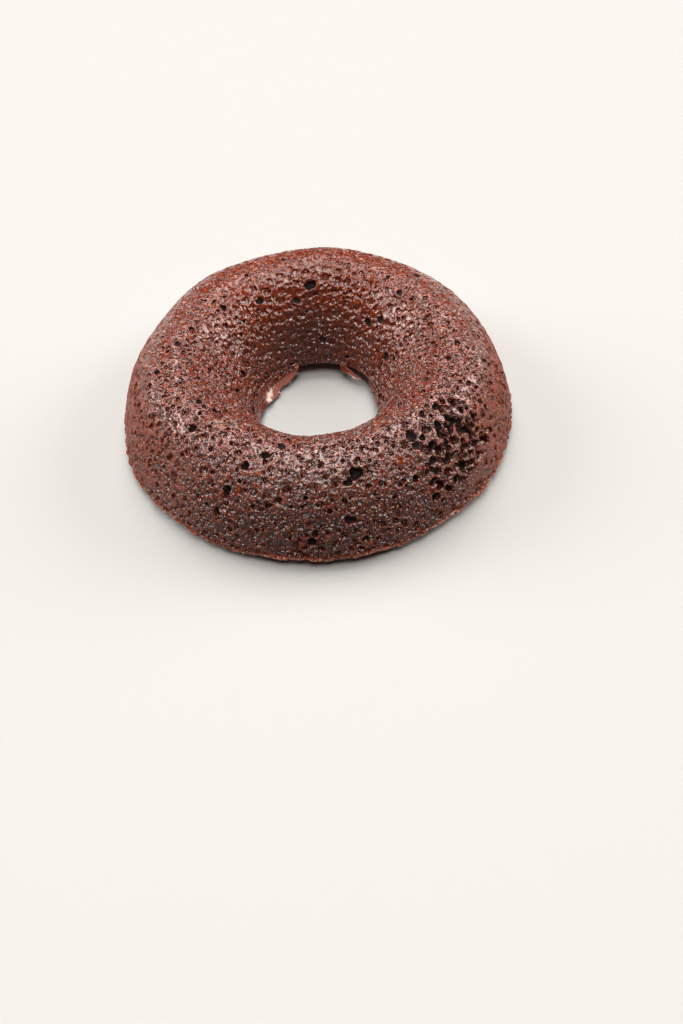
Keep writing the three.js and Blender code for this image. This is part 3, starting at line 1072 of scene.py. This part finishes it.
def crust_material():
    material = bpy.data.materials.new("chocolate_crust")
    material.use_nodes = True
    tree = material.node_tree
    tree.nodes.clear()
    place = add_node(tree, "ShaderNodeTexCoord").outputs["Object"]
    normal = crust_bump(tree, place)
    tones = noise(tree, place, TONE_SIZE, detail=3.0)
    cavity = remap(tree, mark(tree, "cavity"), *PORE_RANGE)
    shader = add_node(tree, "ShaderNodeBsdfPrincipled", {
        "Base Color": crust_colour(tree, place, tones, normal, cavity),
        "Roughness": crust_roughness(tree, tones, cavity),
        "Normal": normal,
        "Specular IOR Level": SPECULAR_LEVEL,
        "Coat Weight": crust_coat(tree, normal, cavity),
        "Coat Roughness": COAT_ROUGHNESS,
        "Coat IOR": COAT_IOR,
        "Coat Normal": normal,
    })
    output = add_node(tree, "ShaderNodeOutputMaterial")
    tree.links.new(shader.outputs["BSDF"], output.inputs["Surface"])
    return material


def plain_material(name, colour, roughness):
    material = bpy.data.materials.new(name)
    material.use_nodes = True
    shader = material.node_tree.nodes["Principled BSDF"]
    shader.inputs["Base Color"].default_value = colour
    shader.inputs["Roughness"].default_value = roughness
    return material


# Pieces

def add_object(name, mesh, material):
    item = bpy.data.objects.new(name, mesh)
    bpy.context.scene.collection.objects.link(item)
    mesh.materials.clear()
    mesh.materials.append(material)
    return item


def make_crust(material):
    places, marks, box = ring_points()
    mesh = thinned(closed_mesh("crust", places, marks), CRUST_TRIANGLES)
    crust = add_object("crust", mesh, material)
    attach(crust, "root")
    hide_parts("doughnut")
    return box


def make_torn_skin(material, box):
    rng = np.random.default_rng(SKIN_SEED)
    tubes = [skin_piece(landmarks, rng) for landmarks in (WIDE_FLAP, LOOSE_STRIP, SMALL_FLAP)]
    tubes += [sliver(*shred) for shred in SLIVERS]
    tubes = [(fit_to_solid(uneven(places), *box), marks) for places, marks in tubes]
    skin = add_object("torn_skin", tube_mesh("torn_skin", tubes), material)
    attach(skin, "root")


# Stage, light and camera

def make_floor():
    corners = [(-1, -1), (1, -1), (1, 1), (-1, 1)]
    mesh = bpy.data.meshes.new("floor")
    mesh.from_pydata([(x * FLOOR_HALF, y * FLOOR_HALF, 0) for x, y in corners], [], [(0, 1, 2, 3)])
    floor = add_object("floor", mesh, plain_material("pale_floor", FLOOR_COLOUR, FLOOR_ROUGHNESS))


def add_light(name, place, size, power):
    data = bpy.data.lights.new(name, "AREA")
    data.shape = "SQUARE"
    data.size = size
    data.energy = power
    data.color = LIGHT_COLOUR
    light = bpy.data.objects.new(name, data)
    bpy.context.scene.collection.objects.link(light)
    light.location = place
    light.rotation_euler = (-Vector(place)).to_track_quat("-Z", "Y").to_euler()


def light_scene():
    for light in LIGHTS:
        add_light(*light)
    world = bpy.data.worlds.new("soft_white")
    bpy.context.scene.world = world
    world.use_nodes = True
    sky = world.node_tree.nodes["Background"]
    sky.inputs["Color"].default_value = SKY_COLOUR
    sky.inputs["Strength"].default_value = SKY_STRENGTH


def make_camera():
    pitch, yaw, roll = (math.radians(angle) for angle in (CAMERA_PITCH, CAMERA_YAW, CAMERA_ROLL))
    ahead = Vector((math.sin(yaw) * math.cos(pitch), math.cos(yaw) * math.cos(pitch), -math.sin(pitch)))
    level = Vector((math.cos(yaw), -math.sin(yaw), 0))
    down = ahead.cross(level)
    right = math.cos(roll) * level + math.sin(roll) * down
    below = -math.sin(roll) * level + math.cos(roll) * down
    data = bpy.data.cameras.new("camera")
    data.sensor_width = SENSOR
    data.lens = SENSOR * FOCAL_PIXELS / PICTURE_HEIGHT
    data.clip_start = NEAREST_SEEN
    data.clip_end = FARTHEST_SEEN
    camera = bpy.data.objects.new("camera", data)
    bpy.context.scene.collection.objects.link(camera)
    turn = Matrix((right, -below, -ahead)).transposed()
    camera.matrix_world = Matrix.Translation(CAMERA_PLACE) @ turn.to_4x4()
    bpy.context.scene.camera = camera


make_camera()
crust_look = crust_material()
make_torn_skin(crust_look, make_crust(crust_look))
make_floor()
light_scene()
bpy.context.scene.view_settings.view_transform = "Standard"
